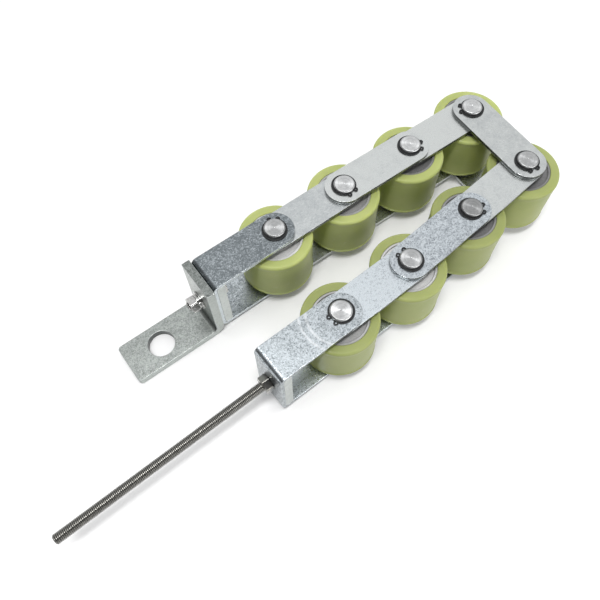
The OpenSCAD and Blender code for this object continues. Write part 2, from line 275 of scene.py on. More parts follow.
def softened(name, node, edge, finish, seed, tone, spangle=1.0, rub=0.0):
    origin, heading = yoke_frame(node)
    shape = bmesh.new()
    shape.from_mesh(frame["nodes"][node].data)
    bmesh.ops.remove_doubles(shape, verts=shape.verts, dist=WELD)
    bmesh.ops.dissolve_limit(shape, angle_limit=NEARLY_FLAT, verts=shape.verts, edges=shape.edges)
    mesh = bpy.data.meshes.new(name)
    shape.to_mesh(mesh)
    shape.free()
    for key in list(mesh.attributes.keys()):
        if key in ("custom_normal", "sharp_edge", "sharp_face"):
            mesh.attributes.remove(mesh.attributes[key])
    mesh.polygons.foreach_set("use_smooth", [True] * len(mesh.polygons))
    mesh.materials.clear()
    mesh.materials.append(None)
    mesh.materials.append(None)
    made = add_object(name, mesh)
    bevel = made.modifiers.new("broken edges", "BEVEL")
    bevel.width, bevel.segments, bevel.material = edge, 3, 1
    bevel.limit_method, bevel.angle_limit = "ANGLE", REAL_CORNER
    bevel.use_clamp_overlap, bevel.harden_normals = False, True
    result = evaluated_piece(made, bevel).data
    rims = [float(face.material_index == 1) for face in result.polygons]
    result.polygons.foreach_set("material_index", [0] * len(result.polygons))
    result.materials.clear()
    result.materials.append(finish)
    places = np.zeros(len(result.vertices) * 3, np.float32)
    result.vertices.foreach_get("co", places)
    places = places.reshape(-1, 3) - np.array(origin, np.float32)
    c, s = math.cos(heading), math.sin(heading)
    places = places @ np.array([[c, -s, 0], [s, c, 0], [0, 0, 1]], np.float32)
    result.attributes.new("own", "FLOAT_VECTOR", "POINT").data.foreach_set("vector", places.ravel())
    result.attributes.new("rim", "FLOAT", "FACE").data.foreach_set("value", rims)
    for key, value in (("seed", seed), ("spangle", spangle), ("rub", rub)):
        result.attributes.new(key, "FLOAT", "POINT").data.foreach_set("value", [value] * len(places))
    tones = [tone(face.normal, face.center - origin) for face in result.polygons]
    result.attributes.new("tone", "FLOAT", "FACE").data.foreach_set("value", tones)
    put_on(made, body_of[node], finish, node)
    print(name, len(result.polygons), "faces")


# %% [markdown]
# ## A helper for node trees
# Python can build a node tree, but a node takes a line to make, a line for each of its values and a line for each
# wire. This helper adds a node, sets its values and wires its inputs in one call. It serves the trees that make
# geometry and the finishes alike, and keeps them short enough to read.


# %% Node helper
class Nodes:
    def __init__(self, tree):
        self.tree = tree

    def wire(self, socket, value):
        if isinstance(value, bpy.types.NodeSocket):
            self.tree.links.new(value, socket)
        else:
            socket.default_value = value

    def add(self, kind, inputs, output=0, **settings):
        made = self.tree.nodes.new(kind if "Node" in kind else "ShaderNode" + kind)
        for key, value in settings.items():
            setattr(made, key, value)
        for key, value in inputs.items():
            self.wire(made.inputs[key], value)
        return made.outputs[output]

    def maths(self, operation, *values):
        return self.add("Math", dict(enumerate(values)), operation=operation)

    def limited(self, value):
        return self.maths("MINIMUM", self.maths("MAXIMUM", value, 0), 1)

    def steps(self, value, low, high, bottom=0.0, top=1.0, **settings):
        inputs = {"Value": value, "From Min": low, "From Max": high, "To Min": bottom, "To Max": top}
        return self.add("MapRange", inputs, **settings)

    def mix(self, share, first, second, kind="MIX"):
        return self.add("Mix", {0: share, 6: first, 7: second}, 2, data_type="RGBA", blend_type=kind)

    def axes(self, vector):
        split = self.tree.nodes.new("ShaderNodeSeparateXYZ")
        self.wire(split.inputs[0], vector)
        return split.outputs


def geometry_tree(name, inputs, output):
    tree = bpy.data.node_groups.new(name, "GeometryNodeTree")
    labels = {}
    for label, kind in inputs.items():
        socket = tree.interface.new_socket(label, in_out="INPUT", socket_type="NodeSocket" + kind)
        labels[label] = socket.identifier
    tree.interface.new_socket(output, in_out="OUTPUT", socket_type="NodeSocketGeometry")
    given, result = tree.nodes.new("NodeGroupInput"), tree.nodes.new("NodeGroupOutput")
    return Nodes(tree), given.outputs, result.inputs[output], labels


# %% [markdown]
# ## One tree that sets pieces on the pins
# The same plate, pin, tyre and circlip come back all along the chain, which is work for Geometry Nodes: the tree
# takes points, puts a copy of one piece on each, turns it by the point's own attribute, and makes real mesh of
# the copies. It runs once for each body, because a link and a roller move on their own and need a mesh each. The
# points also carry a seed, a spangle and a tone, so no two copies look the same; on plates, hubs and tyres the tone
# is also painted light and shade, set by where a copy lies.

# %% Tree: pieces on points
inputs = {"Points": "Geometry", "Piece": "Object", "Finish": "Material"}
layout, given, result, layout_labels = geometry_tree("pieces_on_pins", inputs, "Pieces")
source = layout.add("GeometryNodeObjectInfo", {"Object": given["Piece"]}, "Geometry")
turn = layout.add("GeometryNodeInputNamedAttribute", {"Name": "turn"}, "Attribute", data_type="FLOAT_VECTOR")
turn = layout.add("FunctionNodeEulerToRotation", {"Euler": turn})
inputs = {"Points": given["Points"], "Instance": source, "Rotation": turn}
copies = layout.add("GeometryNodeInstanceOnPoints", inputs)
real = layout.add("GeometryNodeRealizeInstances", {"Geometry": copies})
paint = layout.add("GeometryNodeSetMaterial", {"Geometry": real, "Material": given["Finish"]})
layout.wire(result, paint)


def lay_out(name, shape, finish, places, body, *nodes):
    mesh = bpy.data.meshes.new(name + "_points")
    mesh.from_pydata([tuple(place["at"]) for place in places], [], [])
    turns = np.array([place["turn"] for place in places], np.float32)
    mesh.attributes.new("turn", "FLOAT_VECTOR", "POINT").data.foreach_set("vector", turns.ravel())
    for key, usual in (("seed", 0.0), ("spangle", 0.0), ("tone", 1.0), ("sheared", 0.0)):
        values = [place.get(key, usual) for place in places]
        mesh.attributes.new(key, "FLOAT", "POINT").data.foreach_set("value", values)
    made, piece = add_object(name, mesh), add_object(shape.name, shape)
    modifier = made.modifiers.new("pieces on pins", "NODES")
    modifier.node_group = layout.tree
    modifier[layout_labels["Piece"]] = piece
    modifier[layout_labels["Finish"]] = finish
    evaluated_piece(made, modifier)
    bpy.data.objects.remove(piece)
    put_on(made, body, finish, *nodes)


print("layout inputs:", sorted(layout_labels))

# %% [markdown]
# ## One tree that rolls a thread
# The rod and the anchor bolt carry a metric coarse thread of 1.25 mm pitch. A thread follows a rule, so it is
# made from a flat grid: one side of the grid runs along the rod, the other goes round it, and the radius at each
# point is the crest less the depth of a wave that advances one pitch a turn. The first and last rows are drawn
# in to close the ends, and a chamfer is the smaller of the thread and a cone. The wave is kept as an attribute
# called groove, so that the finish can paint the bottom of the thread darker, as shade with some oil.

# %% Tree: rolled thread
FLANK_START, FLANK_SLOPE, SEAM = 0.5, 2.2, 2e-6
inputs = {"Geometry": "Geometry", "Length": "Float", "Crest radius": "Float", "Depth": "Float"}
inputs |= {"Thread pitch": "Float", "Chamfer": "Float", "Rows": "Int", "Steps round": "Int", "Finish": "Material"}
roll, given, result, thread_labels = geometry_tree("rolled_thread", inputs, "Thread")
rows, length, crest = given["Rows"], given["Length"], given["Crest radius"]
inputs = {"Size X": 1, "Size Y": 1, "Vertices X": rows, "Vertices Y": given["Steps round"]}
grid = roll.add("GeometryNodeMeshGrid", inputs, "Mesh")
axes = roll.axes(roll.add("GeometryNodeInputPosition", {}))
across, around = (roll.maths("ADD", axes[k], 0.5) for k in (0, 1))
row = roll.maths("MULTIPLY", across, roll.maths("SUBTRACT", rows, 1))
share = roll.maths("DIVIDE", roll.maths("SUBTRACT", row, 1), roll.maths("SUBTRACT", rows, 3))
along = roll.maths("MULTIPLY", roll.limited(share), length)
left = roll.maths("SUBTRACT", length, along)
phase = roll.maths("SUBTRACT", roll.maths("DIVIDE", along, given["Thread pitch"]), around)
wave = roll.maths("MULTIPLY", roll.maths("FRACT", phase), 2)
wave = roll.maths("ABSOLUTE", roll.maths("SUBTRACT", wave, 1))
flank = roll.maths("MULTIPLY", roll.maths("SUBTRACT", wave, FLANK_START), FLANK_SLOPE)
flank = roll.limited(flank)
thread = roll.maths("SUBTRACT", crest, roll.maths("MULTIPLY", flank, given["Depth"]))
cone = roll.maths("ADD", roll.maths("SUBTRACT", crest, given["Chamfer"]), roll.maths("MINIMUM", along, left))
past_first = roll.maths("GREATER_THAN", row, 0.5)
before_last = roll.maths("LESS_THAN", row, roll.maths("SUBTRACT", rows, 1.5))
radius = roll.maths("MINIMUM", thread, cone)
radius = roll.maths("MULTIPLY", radius, roll.maths("MULTIPLY", past_first, before_last))
angle = roll.maths("MULTIPLY", around, -2 * math.pi)
y, z = (roll.maths("MULTIPLY", radius, roll.maths(wave_of, angle)) for wave_of in ("COSINE", "SINE"))
inputs = {"Geometry": grid, "Name": "groove", "Value": flank}
marked = roll.add("GeometryNodeStoreNamedAttribute", inputs, data_type="FLOAT", domain="POINT")
inputs = {"Geometry": marked, "Position": roll.add("CombineXYZ", {0: along, 1: y, 2: z})}
moved = roll.add("GeometryNodeSetPosition", inputs)
welded = roll.add("GeometryNodeMergeByDistance", {"Geometry": moved, "Distance": SEAM})
real = roll.add("GeometryNodeRealizeInstances", {"Geometry": welded})
paint = roll.add("GeometryNodeSetMaterial", {"Geometry": real, "Material": given["Finish"]})
roll.wire(result, paint)
print("thread inputs:", sorted(thread_labels))

# %% Rolled thread
thread_sizes = {"Crest radius": 3.98 * MM, "Depth": 0.68 * MM, "Thread pitch": 1.25 * MM, "Chamfer": 0.8 * MM}
row_step, steps_round = 0.125 * MM, 25


def rolled_thread(name, finish, node, reach, length):
    made = add_object(name, bpy.data.meshes.new(name + "_seed"))
    modifier = made.modifiers.new("rolled thread", "NODES")
    modifier.node_group = roll.tree
    sizes = {"Length": length, "Rows": int(length / row_step) + 3, "Steps round": steps_round, "Finish": finish}
    for label, value in (thread_sizes | sizes).items():
        modifier[thread_labels[label]] = value
    mesh = evaluated_piece(made, modifier).data
    shape = bmesh.new()
    shape.from_mesh(mesh)
    bmesh.ops.recalc_face_normals(shape, faces=shape.faces)
    shape.to_mesh(mesh)
    shape.free()
    mesh.polygons.foreach_set("use_smooth", [True] * len(mesh.polygons))
    pin, heading = yoke_frame(node)
    turn = Matrix.Rotation(heading, 4, "Z")
    mesh.transform(Matrix.Translation(pin) @ turn @ Matrix.Translation((reach * MM, 0, 0)))
    put_on(made, body_of[node], finish, node)
    print(name, len(mesh.polygons), "faces")


# %% [markdown]
# ## Finishes
# Each finish is a small node tree on the Principled shader. A number that is the same all over sits on the
# shader's own socket, and only what varies over the surface is wired to it. A finish adds a few words to the node
# helper: noise, crystal cells, a piece's own attributes and its tone.


# %% Finish helper
class Finish(Nodes):
    def __init__(self, name, **sockets):
        self.material = bpy.data.materials.new(name)
        self.material.use_nodes = True
        super().__init__(self.material.node_tree)
        self.shader = self.tree.nodes["Principled BSDF"]
        self.use(**sockets)

    def use(self, **sockets):
        for name, value in sockets.items():
            label = name.replace("_", " ").title().replace("Ior", "IOR")
            self.wire(self.shader.inputs[label], value)
        return self.material

    def noise(self, place, size, detail=2.0, roughness=0.6):
        inputs = {"Vector": place, "Scale": 1 / size, "Detail": detail, "Roughness": roughness}
        return self.add("TexNoise", inputs)

    def cells(self, place, size):
        random = self.add("TexVoronoi", {"Vector": place, "Scale": 1 / size}, "Color")
        return self.add("SeparateColor", {0: random})

    def value(self, name, output="Fac"):
        return self.add("Attribute", {}, output, attribute_name=name)

    def own_place(self):
        shift = self.add("VectorMath", {0: (0.37, 0.53, 0.71), "Scale": self.value("seed")}, operation="SCALE")
        return self.add("VectorMath", {0: self.value("own", "Vector"), 1: shift}, operation="ADD")

    def radius(self):
        flat = self.add("VectorMath", {0: self.value("own", "Vector"), 1: (1, 1, 0)}, operation="MULTIPLY")
        return self.add("VectorMath", {0: flat}, "Value", operation="LENGTH")

    def object_place(self):
        return self.add("TexCoord", {}, "Object")

    def toned(self, colour):
        tone = self.value("tone")
        return self.mix(1.0, colour, self.add("CombineColor", {0: tone, 1: tone, 2: tone}), "MULTIPLY")

    def bump(self, height, strength, depth):
        return self.add("Bump", {"Height": height, "Strength": strength, "Distance": depth})


# %% [markdown]
# ### Zinc plate
# Zinc plated sheet is a pale grey with a bluish speckle under a millimetre across, cloudy patches over that, and
# edges rubbed bright. Voronoi cells of two sizes make the speckle, because a cell has one flat shade, as a crystal
# of zinc has, and a noise makes the clouds. The spangle attribute says how strong the speckle is on a piece, since
# some plates are much smoother than others, tone says how bright the piece or face is, which on several pieces is
# painted light and shade, and rub draws two pale arcs where a neighbour has turned on it. The wall of an upper
# plate is painted dark, as the shade and dark reflection along its edge.

# %% Zinc
rub_radii, rub_width = (26 * MM, 31.5 * MM), 1.5 * MM
rubbed_zinc, bright_edge, painted_wall_shade = (0.90, 0.92, 0.93, 1), (0.75, 0.76, 0.77, 1), (0.12, 0.125, 0.125, 1)


def zinc(name, pale, cool, deep, base_roughness, size, cloud_size=9 * MM, cloudy=0.12):
    finish = Finish(name, metallic=1.0)
    place, radius = finish.own_place(), finish.radius()
    rim, spangle = finish.value("rim"), finish.value("spangle")
    small, large = finish.cells(place, size), finish.cells(place, 2.3 * size)
    cloud = finish.noise(place, cloud_size, 3.0)
    grain = finish.maths("ADD", finish.maths("MULTIPLY", small, 0.6), finish.maths("MULTIPLY", large, 0.4))
    amount = finish.maths("MULTIPLY_ADD", spangle, 1.1, 0.2)
    spread = finish.maths("MULTIPLY", amount, finish.maths("SUBTRACT", grain, 0.5))
    clouds = finish.steps(cloud, 0.3, 0.7, -0.35 - cloudy, -0.35 + cloudy)
    level = finish.maths("ADD", finish.maths("MULTIPLY", finish.value("tone"), 1.15), clouds)
    colour = finish.mix(finish.maths("ADD", level, spread), deep, finish.mix(spangle, pale, cool))
    away = [finish.maths("ABSOLUTE", finish.maths("SUBTRACT", radius, r)) for r in rub_radii]
    arcs = finish.maths("MAXIMUM", *(finish.steps(gap, 0, rub_width, 1, 0) for gap in away))
    arcs = finish.maths("MULTIPLY", arcs, finish.value("rub"))
    patchy = finish.steps(cloud, 0.3, 0.6, 0.1, 0.45)
    colour = finish.mix(finish.maths("MULTIPLY", arcs, patchy), colour, rubbed_zinc)
    edge = finish.maths("MULTIPLY", finish.maths("MAXIMUM", rim, 0), 0.15)
    colour = finish.mix(edge, colour, bright_edge)
    # Painted shade: the wall of an upper plate is darkened for the shade and dark reflection along its edge.
    wall = finish.maths("MULTIPLY", finish.maths("MULTIPLY", rim, -0.85), finish.value("sheared"))
    colour = finish.mix(finish.maths("MAXIMUM", wall, 0), colour, painted_wall_shade)
    rough = finish.steps(grain, 0.2, 0.8, base_roughness + 0.06, base_roughness - 0.05)
    return finish.use(base_color=colour, roughness=rough, normal=finish.bump(cloud, 0.06, 0.2 * MM))


pale_zinc, blue_zinc, dull_zinc = (0.61, 0.63, 0.615, 1), (0.61, 0.66, 0.69, 1), (0.46, 0.49, 0.47, 1)
sawn_pale, sawn_deep, foot_deep = (0.58, 0.61, 0.595, 1), (0.42, 0.445, 0.43, 1), (0.10, 0.11, 0.105, 1)
plate_zinc = zinc("plate_zinc", pale_zinc, blue_zinc, (0.20, 0.22, 0.245, 1), 0.30, 0.6 * MM)
yoke_zinc = zinc("yoke_zinc", pale_zinc, blue_zinc, (0.15, 0.17, 0.18, 1), 0.30, 0.5 * MM)
bracket_zinc = zinc("bracket_zinc", dull_zinc, dull_zinc, foot_deep, 0.34, 0.6 * MM, 7 * MM, 0.10)
block_steel = zinc("block_steel", sawn_pale, sawn_pale, sawn_deep, 0.34, 1.0 * MM)
print("zinc finishes:", plate_zinc.name, yoke_zinc.name, bracket_zinc.name, block_steel.name)

# %% [markdown]
# ### Polyurethane tyre
# The tyres are cast polyurethane: olive green, satin, and a little waxy, because light enters and leaves a few
# millimetres away. Subsurface scattering gives that. The colour drifts slowly over the casting, small pale scuffs
# are scattered over it, and a fine grain varies the gloss.

# %% Polyurethane
olive, pale_olive, scuffed = (0.43, 0.49, 0.165, 1), (0.50, 0.55, 0.20, 1), (0.62, 0.65, 0.36, 1)
waxy = {"subsurface_weight": 0.35, "subsurface_radius": (1.0, 1.0, 0.35), "subsurface_scale": 3.0 * MM}
rubber = Finish("tyre_polyurethane", specular_ior_level=0.30, ior=1.5, **waxy)
place = rubber.own_place()
drift, grain = rubber.noise(place, 30 * MM, 2.0), rubber.noise(place, 0.7 * MM, 3.0)
colour = rubber.mix(rubber.steps(drift, 0.3, 0.7), olive, pale_olive)
scuffs = rubber.steps(rubber.noise(place, 5 * MM, 4.0, 0.7), 0.60, 0.74)
colour = rubber.mix(rubber.maths("MULTIPLY", scuffs, 0.35), colour, scuffed)
rough, relief = rubber.steps(grain, 0.3, 0.7, 0.34, 0.46), rubber.bump(grain, 0.12, 0.05 * MM)
tyre_polyurethane = rubber.use(base_color=rubber.toned(colour), roughness=rough, normal=relief)
print("tyre finish:", tyre_polyurethane.name)

# %% [markdown]
# ### Turned and ground steel
# A pin's end shows the rings that a lathe leaves. They are finer than a pixel, but they spread a highlight into a
# fan. A bump would need finer detail than the picture has, so the shader's anisotropy does it, with a tangent that
# runs round the pin's axis, and a noise over the radius adds the few rings that can be seen. Hubs are turned the
# same way and are duller. Bearings, nuts, washers, bolt and rod get a steel with fine stains. On the rod and its
# nuts a clear coat stands for the film of oil, and the bottom of the thread is painted dark, as shade with some
# oil.


# %% Steels
def turned_steel(name, pale, deep, base_roughness, stretch, metal=1.0):
    finish = Finish(name, metallic=metal, anisotropic=stretch)
    rings = {"W": finish.radius(), "Scale": 1 / (0.9 * MM), "Detail": 3.0}
    rings = finish.add("TexNoise", rings, noise_dimensions="1D")
    stain = finish.noise(finish.own_place(), 2.2 * MM, 3.0)
    share = finish.maths("ADD", finish.maths("MULTIPLY", rings, 0.5), finish.maths("MULTIPLY", stain, 0.5))
    colour = finish.toned(finish.mix(finish.steps(share, 0.38, 0.62), deep, pale))
    rough = finish.steps(stain, 0.3, 0.7, base_roughness - 0.05, base_roughness + 0.08)
    round_about = finish.add("Tangent", {}, direction_type="RADIAL", axis="Z")
    return finish.use(base_color=colour, roughness=rough, tangent=round_about)


# Painted shade: the bottom of a thread is darkened as the shade in its roots, with some oil.
groove_shade_and_oil = (0.05, 0.047, 0.038, 1)


def plain_steel(name, pale, deep, base_roughness, size, metal=1.0, oil=0.0):
    finish = Finish(name, metallic=metal, coat_weight=oil, coat_roughness=0.28, coat_ior=1.9)
    place = finish.object_place()
    stain = finish.noise(place, size, 3.0, 0.65)
    colour = finish.mix(finish.steps(stain, 0.35, 0.65), deep, pale)
    colour = finish.mix(finish.maths("MULTIPLY", finish.value("groove"), 0.92), colour, groove_shade_and_oil)
    rough = finish.steps(finish.noise(place, 3 * size, 2.0), 0.3, 0.7, base_roughness - 0.04, base_roughness + 0.06)
    return finish.use(base_color=colour, roughness=rough, normal=finish.bump(stain, 0.05, 0.01 * MM))


pin_steel = turned_steel("pin_steel", (0.68, 0.69, 0.69, 1), (0.48, 0.49, 0.49, 1), 0.38, 0.75)
hub_steel = turned_steel("hub_steel", (0.50, 0.50, 0.495, 1), (0.36, 0.36, 0.355, 1), 0.42, 0.5, 0.4)
bearing_steel = plain_steel("bearing_steel", (0.40, 0.40, 0.395, 1), (0.28, 0.28, 0.275, 1), 0.40, 0.8 * MM, 0.4)
# Lit and shaded copies of one steel: painted light and painted shade for bearings between the plates.
bearing_painted_lit = plain_steel("bearing_steel_pale", (0.70, 0.70, 0.69, 1), (0.56, 0.56, 0.55, 1), 0.36, 0.8 * MM, 0.4)
bearing_painted_shade = plain_steel("bearing_steel_dark", (0.20, 0.20, 0.20, 1), (0.14, 0.14, 0.14, 1), 0.40, 0.8 * MM, 0.4)
bright_zinc = plain_steel("bright_zinc", (0.56, 0.56, 0.545, 1), (0.42, 0.42, 0.41, 1), 0.16, 2 * MM)
rod_steel = plain_steel("rod_steel", (0.14, 0.136, 0.115, 1), (0.08, 0.077, 0.066, 1), 0.28, 1.5 * MM, oil=1.0)
nut_steel = plain_steel("nut_steel", (0.17, 0.163, 0.14, 1), (0.09, 0.086, 0.073, 1), 0.2, 2 * MM, oil=1.0)
print("steel finishes:", [m.name for m in (pin_steel, hub_steel, bearing_steel, bright_zinc, rod_steel, nut_steel)])

# %% [markdown]
# ### Black circlips
# Circlips are spring steel with a black oxide and a film of oil. That is not quite a mirror and not quite a
# paint: a dark metal, with grey rubbing on the edges.

# %% Black oxide
oxide = Finish("circlip_black", metallic=0.55)
film = oxide.noise(oxide.own_place(), 1.2 * MM, 3.0)
colour = oxide.mix(oxide.steps(film, 0.35, 0.65), (0.012, 0.013, 0.014, 1), (0.030, 0.031, 0.032, 1))
worn = oxide.maths("MULTIPLY", oxide.maths("MAXIMUM", oxide.value("rim"), 0), 0.3)
colour = oxide.mix(worn, colour, (0.10, 0.10, 0.10, 1))
circlip_black = oxide.use(base_color=colour, roughness=oxide.steps(film, 0.3, 0.7, 0.30, 0.45))
print("circlip finish:", circlip_black.name)

# %% [markdown]
# ## Link plates
# A link is two plates with round ends, one above the rollers and one below. The inner links lie next to the
# rollers, the outer links outside them, and they take turns along the chain. One plate is stamped here, and the
# tree sets two copies of it for each link, at the height its CAD node has.


# %% Link plates
def half_sizes(node):
    return [(far - near) / 2 for near, far in zip(*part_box(node))]


plate_half = half_sizes("inner_link_1")[1]
plate_thick, plate_edge, pin_hole = 3.0 * MM, 0.22 * MM, 8.55 * MM


def plate_outline(length, half):
    ends = np.linspace(-math.pi / 2, math.pi / 2, 49)
    right = np.stack([length + half * np.cos(ends), half * np.sin(ends)], 1)
    left = np.stack([-half * np.cos(ends), -half * np.sin(ends)], 1)
    return np.concatenate([right, left])


loops = [plate_outline(pitch, plate_half)]
loops += [circle(pin_hole, 64, middle, clockwise=True) for middle in ((0, 0), (pitch, 0))]
plate_shape = stamped("link_plate", loops, 0, plate_thick, plate_edge)
# The tones are partly each plate's own finish and partly painted highlight, brightest on the last inner link, where
# the overhead lamp's reflection falls.
spangles_and_tones = {"inner_link_1": (0.25, 0.96), "outer_link_1": (0.12, 1.17), "inner_link_2": (0.08, 1.23)}
spangles_and_tones |= {"outer_link_2": (0.1, 1.02), "inner_link_3": (0.15, 1.10), "outer_link_3": (1.1, 0.88)}
spangles_and_tones |= {"inner_link_4": (1.4, 1.28)}
for k, (node, (spangle, tone)) in enumerate(spangles_and_tones.items()):
    low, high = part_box(node)
    places = []
    for side, bottom in enumerate((low.z, high.z - plate_thick)):
        place = {"at": Vector((pins[k].x, pins[k].y, bottom)), "turn": (0, 0, link_headings[k])}
        # The upper plate (side 1) gets its wall painted dark as shade.
        look = {"seed": 1.3 * k + 0.57 * side, "spangle": spangle, "tone": tone, "sheared": side}
        places.append(place | look)
    lay_out(node.replace("link", "plates"), plate_shape, plate_zinc, places, body_of[node], node)
print("link plates: 14 on 7 links, half width", round(plate_half / MM, 2), "mm")

# %% [markdown]
# ## Pins
# A pin is turned bar with chamfered ends, a groove for each circlip and a shallow centre mark. A loop just inside
# the chamfer keeps the shading of the end flat. Both ends are alike, so only the upper half is written down.

# %% Pins
pin_r, _, pin_half = half_sizes("pin_1")
groove_r, groove_low, groove_high, chamfer = 7.9 * MM, 32.3 * MM, 33.4 * MM, 0.9 * MM


def both_halves(upper):
    return [(r, -z) for r, z in reversed(upper)] + upper


upper = [(pin_r, groove_low), (groove_r, groove_low), (groove_r, groove_high), (pin_r, groove_high)]
upper += [(pin_r, pin_half - chamfer), (pin_r - 0.12 * MM, pin_half - chamfer + 0.2 * MM)]
upper += [(pin_r - chamfer + 0.15 * MM, pin_half - 0.12 * MM), (pin_r - chamfer - 0.1 * MM, pin_half)]
upper += [(r, pin_half) for r in (pin_r - chamfer - 0.3 * MM, 5.0 * MM, 2.4 * MM, 0.8 * MM)]
upper += [(0.5 * MM, pin_half - 0.22 * MM), (0, pin_half - 0.3 * MM)]
pin_shape = turned("pin_shape", both_halves(upper), 72, ring=False)
pin_tones = (0.77, 0.99, 1.02, 0.99, 0.80, 0.55, 0.79, 0.92)
for k, at in enumerate(pins):
    place = {"at": at, "turn": (0, 0, 0.9 * k), "seed": 0.71 * k, "tone": pin_tones[k]}
    node = f"pin_{k + 1}"
    lay_out(f"turned_pin_{k + 1}", pin_shape, pin_steel, [place], body_of[node], node)
print("pins:", len(pins), "radius", round(pin_r / MM, 2), "mm, length", round(2 * pin_half / MM, 2), "mm")

# %% [markdown]
# ## Circlips
# A circlip is punched from spring steel: a band that is widest opposite its gap, and two lugs with holes for the
# pliers. A drawn curve could give the outline, but here it is found by angle, as the further of the band's circle
# and the lugs' circles, so it follows from four sizes.


# %% Circlips
def circlip_outline():
    inner, band, lug, gap, lug_hole = 7.95 * MM, 2.6 * MM, 1.9 * MM, 3.0 * MM, 0.8 * MM
    drift = band / 6
    outer = inner + band - drift
    lug_at = inner + lug
    lug_turn = math.asin((gap / 2 + lug) / lug_at)
    start = math.atan2(gap / 2, math.sqrt(outer**2 - gap**2 / 4) - drift)
    past_lugs, whole = 0.75, 2 * math.pi
    spans = [(start, past_lugs, 60), (past_lugs, whole - past_lugs, 90), (whole - past_lugs, whole - start, 60)]
    angles = np.unique(np.concatenate([np.linspace(*span) for span in spans]))
    reach = []
    for a in angles:
        best = -drift * math.cos(a) + math.sqrt(outer**2 - (drift * math.sin(a)) ** 2)
        for side in (-1, 1):
            ahead = lug_at * math.cos(a - side * lug_turn)
            room = ahead**2 - lug_at**2 + lug**2
            if room > 0 and ahead > 0:
                best = max(best, ahead + math.sqrt(room))
        reach.append(best)
    rim = np.stack([np.array(reach) * np.cos(angles), np.array(reach) * np.sin(angles)], 1)
    inner_start = math.asin(gap / 2 / inner)
    back = np.linspace(whole - inner_start, inner_start, 100)
    bore = np.stack([inner * np.cos(back), inner * np.sin(back)], 1)
    lugs = [(lug_at * math.cos(s * lug_turn), lug_at * math.sin(s * lug_turn)) for s in (-1, 1)]
    return [np.concatenate([rim, bore])] + [circle(lug_hole, 24, middle, clockwise=True) for middle in lugs]


clip_thick, clip_edge, clip_z = 1.0 * MM, 0.1 * MM, 32.35 * MM
clip_shape = stamped("clip_shape", circlip_outline(), 0, clip_thick, clip_edge)
clip_turns = [math.radians(a) for a in (60, -80, -35, 145, -100, -35, 100, 190)]
clip_sets = {"circlips_anchor": [0], "circlips_1": [1, 2], "circlips_2": [3, 4]}
clip_sets |= {"circlips_3": [5, 6], "circlips_tension": [7]}
for node, members in clip_sets.items():
    places = []
    for k in members:
        for side, (rise, flip) in enumerate(((clip_z, 0), (-clip_z, math.pi))):
            at = pins[k] + Vector((0, 0, rise))
            places.append({"at": at, "turn": (flip, 0, clip_turns[k]), "seed": 0.3 * k + 0.1 * side})
    lay_out(node + "_black", clip_shape, circlip_black, places, body_of[node], node)
print("circlips: 16, in", len(clip_sets), "sets")

# %% [markdown]
# ## Tyres and hubs
# Each roller is a steel hub with a tyre cast round it. The tyre's face is flat and its lip is round. The running
# face is ground down a little after casting, so a narrow band beside each lip stands proud of it. The hub's end
# lies a little below the tyre's face and has a small chamfer at its bore.

# %% Tyres
tyre_r, _, tyre_half = half_sizes("tyre_1")
hub_r, _, hub_half = half_sizes("hub_1")
lip, band, ground_off = 2.4 * MM, 3.4 * MM, 0.4 * MM
lip_turns = [math.radians(a) for a in (0, 12, 23, 34, 45, 56, 67, 78, 90)]
ground_r, band_z = tyre_r - ground_off, tyre_half - band
upper = [(ground_r, 9 * MM), (ground_r, 16 * MM), (ground_r, band_z - 0.15 * MM), (ground_r + 0.05 * MM, band_z)]
upper += [(tyre_r - 0.1 * MM, band_z + 0.1 * MM), (tyre_r, band_z + 0.3 * MM)]
upper += [(tyre_r - lip + lip * math.cos(a), tyre_half - lip + lip * math.sin(a)) for a in lip_turns]
upper += [(r, tyre_half) for r in (tyre_r - lip - 0.8 * MM, hub_r + 1.2 * MM, hub_r + 0.5 * MM)]
upper += [(hub_r + 0.1 * MM, tyre_half - 0.15 * MM), (hub_r, tyre_half - 0.6 * MM)]
tyre_shape = turned("tyre_shape", both_halves(upper), 128, corner=40)
bearing_bore, shoulder_r, seat, hub_edge, bore_edge = 20.05 * MM, 18.0 * MM, 9.5 * MM, 0.35 * MM, 0.5 * MM
upper = [(hub_r, hub_half - hub_edge), (hub_r - hub_edge, hub_half)]
upper += [(bearing_bore + bore_edge, hub_half), (bearing_bore, hub_half - bore_edge)]
upper += [(bearing_bore, seat), (shoulder_r, seat)]
hub_shape = turned("hub_shape", both_halves(upper), 96)
# Painted light and shade per roller: a hub's tone stands for the light and shade on its end between the plates, and
# the tyres of rollers 5 to 8 are painted darker for the lesser light that falls on them.
hub_painted_light_tones = (1.5, 0.9, 0.6, 0.55, 0.5, 0.6, 1.2, 0.9)
tyre_painted_shade_tones = (0.92, 0.92, 0.93, 0.98, 0.73, 0.66, 0.71, 0.66)
for k, at in enumerate(pins):
    place, body = {"at": at, "turn": (0, 0, 0.8 * k), "seed": 0.43 * k}, f"roller_{k + 1}"
    tyre_place, hub_place = place | {"tone": tyre_painted_shade_tones[k]}, place | {"tone": hub_painted_light_tones[k]}
    lay_out(f"cast_tyre_{k + 1}", tyre_shape, tyre_polyurethane, [tyre_place], body, f"tyre_{k + 1}")
    lay_out(f"turned_hub_{k + 1}", hub_shape, hub_steel, [hub_place], body, f"hub_{k + 1}")
print("rollers: 8, tyre radius", round(tyre_r / MM, 2), "mm, width", round(2 * tyre_half / MM, 2), "mm")

# %% [markdown]
# ## Yokes, blocks and bracket
# The two yokes are straps bent to a U, each with a block behind its end wall, and the bracket is an L of thicker
# plate. They keep their CAD shape, with broken edges. The functions below are their rules for tone; those for the
# yokes and the bracket paint light and shade onto faces.

